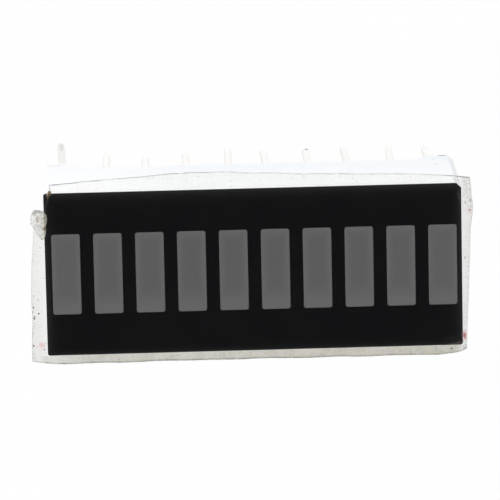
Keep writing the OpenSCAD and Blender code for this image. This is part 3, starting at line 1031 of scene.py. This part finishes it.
def buildFilm(form):
    line, soil, width = filmOutline(form, form["gap"])
    count = len(line)
    outer, inner = [], []
    for i, p in enumerate(line):
        along = (line[(i + 1) % count] - line[i - 1]).normalized()
        inward = Vector((along.y, -along.x))
        outer.append(p + inward * abs(ripple(p.x, p.y, *form["wobbleNoise"])) * form["wobble"])
        inner.append(p + inward * (width[i] + form["wobble"]))
    step = form["spacing"]
    (left, long), (bottom, tall) = form["field"]
    spread = []
    for j in range(int(tall / step) + 1):
        for i in range(int(long / step) + 1):
            q = Vector((left + i * step + (j % 2) * step / 2, bottom + j * step))
            if min((p - q).length_squared for p in inner) > (form["clear"] * step) ** 2:
                spread.append(q)
    edges = [(i, (i + 1) % count) for i in range(count)]
    flat, _, faces, *_ = geometry.delaunay_2d_cdt(inner + spread, edges, [list(range(count))], 1, 1e-7)
    bm = bmesh.new()
    rim = bm.loops.layers.float_color.new("rim")
    top, low = [], []
    for v in outer + flat:
        z = form["level"] + filmLevel(v.x, v.y)
        top.append(bm.verts.new((v.x * mm, v.y * mm, (z + form["thickness"]) * mm)))
        low.append(bm.verts.new((v.x * mm, v.y * mm, z * mm)))
    dirt = {v: s for group in (top, low) for v, s in zip(group, soil)}
    for f in faces:
        bm.faces.new([top[count + i] for i in f])
        bm.faces.new([low[count + i] for i in reversed(f)])
    for i in range(count):
        j = (i + 1) % count
        bm.faces.new((top[i], top[j], top[count + j], top[count + i]))
        bm.faces.new((low[j], low[i], low[count + i], low[count + j]))
        bm.faces.new((top[j], top[i], low[i], low[j]))
    for face in bm.faces:
        for corner in face.loops:
            share = dirt.get(corner.vert, 0.0)
            corner[rim] = (share, share, share, 1)
    bmesh.ops.delete(bm, geom=[v for v in bm.verts if not v.link_faces], context="VERTS")
    dress(linkMesh("filmSheet", bm), filmFinish, ["protective_film"])


buildFilm(filmForm)
print("film made")


# lump where the film's left edge is crumpled and stuck to itself

lumpForm = {
    "seed": 25,
    "middle": (-12.95, 3.2, 8.08),
    "lobes": [
        # centre and half sizes in millimetres
        ((-13.02, 3.62, 8.08), (0.41, 0.4, 0.27)),
        ((-12.82, 3.55, 8.1), (0.3, 0.38, 0.25)),
        ((-13.05, 3.3, 8.07), (0.35, 0.38, 0.23)),
        ((-12.87, 2.86, 8.08), (0.29, 0.38, 0.21)),
        ((-12.79, 2.5, 8.06), (0.19, 0.27, 0.15)),
    ],
    "search": (1.6, 0.05, 0.005),  # farthest and nearest reach of a ray to the skin, and its step
    "core": 0.06,  # least reach once it is crumpled
    # facets of the crumpled film: count in a millimetre, height, width of the crease, depth of its dark line
    "facets": [(2.6, 0.1, 0.08, 0.45), (5.2, 0.05, 0.12, 0.4), (9.0, 0.02, 0.2, 0.25)],
    "bend": (0.7, (3.1, 1.7, 5.2), 0.25),  # scale, start and size of the bends in the creases
    "tones": (0.12, 0.3), "toneFrom": 3.3,  # clearer towards the low end
    "toneShare": 0.9,
    "limit": ((-13.55, 2.12, 7.62), (-12.42, 4.11, 8.4)),
    "overFace": (-12.67, 8.062),  # right of this place it stays above the film
    "shading": 25,
}


def facet(point, scale, crease, bend):
    # height of the flat facet at a point, and how near its crease is
    finer, start, size = bend
    bent = noise.noise_vector(point * scale * finer + Vector(start)) * size
    away, seeds, *_ = noise.voronoi(point * scale + bent)
    tilt = noise.noise_vector(seeds[0] * 3.7)
    height = noise.noise(seeds[0] * 5.3) + tilt.dot(point * scale - seeds[0])
    return height, max(0.0, 1 - (away[1] - away[0]) / crease)


def insideLobes(point, lobes):
    total = 0.0
    for centre, half in lobes:
        away = Vector(((point[i] - centre[i]) / half[i] for i in range(3))).length_squared
        total += 1.0 / (away * away + 0.02)
    return total


def buildLump(form):
    noise.seed_set(form["seed"])  # else noise_vector differs from run to run
    middle = Vector(form["middle"])
    low, high = form["limit"]
    farthest, nearest, step = form["search"]
    edgeOfFace, filmTop = form["overFace"]
    bm = bmesh.new()
    bmesh.ops.create_icosphere(bm, subdivisions=5, radius=1.0)
    fold = bm.verts.layers.float_color.new("fold")  # crease, tone
    for v in bm.verts:
        ray = v.co.normalized()
        reach = farthest
        while reach > nearest and insideLobes(middle + ray * reach, form["lobes"]) < 1.0:
            reach -= step
        point = middle + ray * reach
        line = 0.0
        tone = form["tones"][point.y > form["toneFrom"]]
        for scale, rise, crease, share in form["facets"]:
            height, near = facet(point, scale, crease, form["bend"])
            reach += rise * height
            line = max(line, share * near)
            tone += form["toneShare"] * height
        point = middle + ray * max(reach, form["core"])
        point = Vector((min(max(point[i], low[i]), high[i]) for i in range(3)))
        if point.x > edgeOfFace:
            point.z = max(point.z, filmTop)
        v.co = point * mm
        v[fold] = (line, min(1.0, max(0.0, tone)), 0, 1)
    obj = linkMesh("filmLump", bm, shading=form["shading"])
    dress(obj, lumpFinish)


buildLump(lumpForm)
print("lump made")


# grit stuck to the free parts of the film: larger bits at listed places, then fine ones at random

gritForm = {
    "seed": 11, "count": 150, "small": 0.008, "large": 0.018,
    "long": (0.7, 1.5), "flatDark": 0.35, "flat": 0.4, "turn": 6.283, "lift": 0.004,
    "lumps": (0.45, 1.7, 8),  # height, scale and start of the noise on a bit's surface
    "fieldX": (-13.5, 13.3), "fieldY": (-5.55, 6.05),
    "gap": 0.3, "clear": 0.05,  # steps of the outline, and distance from it and from the body
    "edgeBand": 0.18, "inside": 0.4,  # fewer bits farther in than this band
    "dark": [
        # x, y, size in millimetres
        (-13.13, -1.54, 0.03), (-13.44, -2.0, 0.05), (-13.12, -2.4, 0.05), (-13.41, -2.7, 0.055),
        (-13.38, -2.57, 0.035), (-13.49, -4.4, 0.058), (-12.85, -4.64, 0.036), (-12.8, -4.8, 0.02),
        (-13.5, -2.3, 0.025), (-13.3, -2.1, 0.02), (-13.5, -3.3, 0.02), (-13.5, -3.6, 0.02),
        (-13.47, -4.9, 0.025), (-13.44, -5.1, 0.025), (13.17, 3.36, 0.02), (13.2, 3.96, 0.036),
        (13.22, 3.86, 0.026), (12.86, 3.84, 0.03), (12.92, 3.85, 0.025), (12.82, 0.41, 0.03),
        (12.88, 0.42, 0.022), (-3.24, 5.83, 0.03), (-1.31, 5.53, 0.026), (-1.26, 5.22, 0.026),
        (9.6, 5.5, 0.022), (4.0, -5.4, 0.03), (-8.3, -5.4, 0.035), (-6.0, 5.85, 0.022), (6.1, 5.5, 0.022),
        (-5.1, 5.78, 0.025), (-4.8, 5.72, 0.02), (2.4, 5.62, 0.02), (13.0, -1.4, 0.03),
    ],
    "patches": [
        # lowest and highest x and y, count
        (12.72, 13.2, 3.4, 5.4, 70), (12.2, 13.1, 5.05, 5.45, 30), (-13.58, -13.36, -5.3, -1.2, 40),
        (12.66, 12.9, -5.3, -4.72, 16), (-12.72, -12.42, -5.49, -5.43, 14), (-12.0, -11.55, -5.565, -5.5, 22),
        (-10.2, -9.8, -5.58, -5.52, 9),
    ],
}


def gritTemplate(height, scale, start):
    bm = bmesh.new()
    bmesh.ops.create_icosphere(bm, subdivisions=2, radius=1.0)
    for v in bm.verts:
        v.co *= 1 + height * noise.noise(v.co * scale + Vector((start, 0, 0)))
    return linkMesh("gritTemplate", bm)


def buildGrit(form):
    chance = random.Random(form["seed"])
    level = filmForm["level"] + filmForm["thickness"] + form["lift"]
    loop = filmOutline(filmForm, form["gap"])[0]

    def bit(x, y, size, flat):
        turn = chance.uniform(0, form["turn"])
        long = chance.uniform(*form["long"])
        return {"place": (x * mm, y * mm, (level + filmLevel(x, y)) * mm), "turn": (0, 0, turn),
                "size": (size * long * mm, size * mm, size * flat * mm)}

    def fineBit(x, y):
        return bit(x, y, chance.uniform(form["small"], form["large"]), form["flat"])

    def onFilm(x, y):
        hit = False
        for a, b in zip(loop, loop[1:] + loop[:1]):
            if (a.y > y) != (b.y > y) and x < (b.x - a.x) * (y - a.y) / (b.y - a.y) + a.x:
                hit = not hit
        return hit

    bits = [bit(x, y, size, form["flatDark"]) for x, y, size in form["dark"]]
    while len(bits) < form["count"]:
        x, y = chance.uniform(*form["fieldX"]), chance.uniform(*form["fieldY"])
        if pastBody(x, y) < form["clear"] or not onFilm(x, y):
            continue
        fromEdge = min((p - Vector((x, y))).length for p in loop)
        share = 1.0 if fromEdge < form["edgeBand"] else form["inside"]
        if fromEdge >= form["clear"] and chance.random() <= share:
            bits.append(fineBit(x, y))
    for lowX, highX, lowY, highY, count in form["patches"]:
        places = [(chance.uniform(lowX, highX), chance.uniform(lowY, highY)) for _ in range(count)]
        bits += [fineBit(x, y) for x, y in places if onFilm(x, y)]
    obj = repeat("filmGrit", gritTemplate(*form["lumps"]), bits, gritFinish)
    dress(obj, gritFinish)


buildGrit(gritForm)
print("grit placed")


# solids that keep their own shape

kept = {"face_coat": blackFinish, "circuit_board": boardFinish, "copper_tracks": copperFinish,
        "solder_joints": solderFinish}
for name in numbered("led_chip", display["count"]):
    kept[name] = chipFinish
for name in numbered("bond_wire", display["count"]):
    kept[name] = goldFinish
for name, material in kept.items():
    nodes[name].data.materials.clear()
    nodes[name].data.materials.append(material)
print("solids dressed:", len(kept))
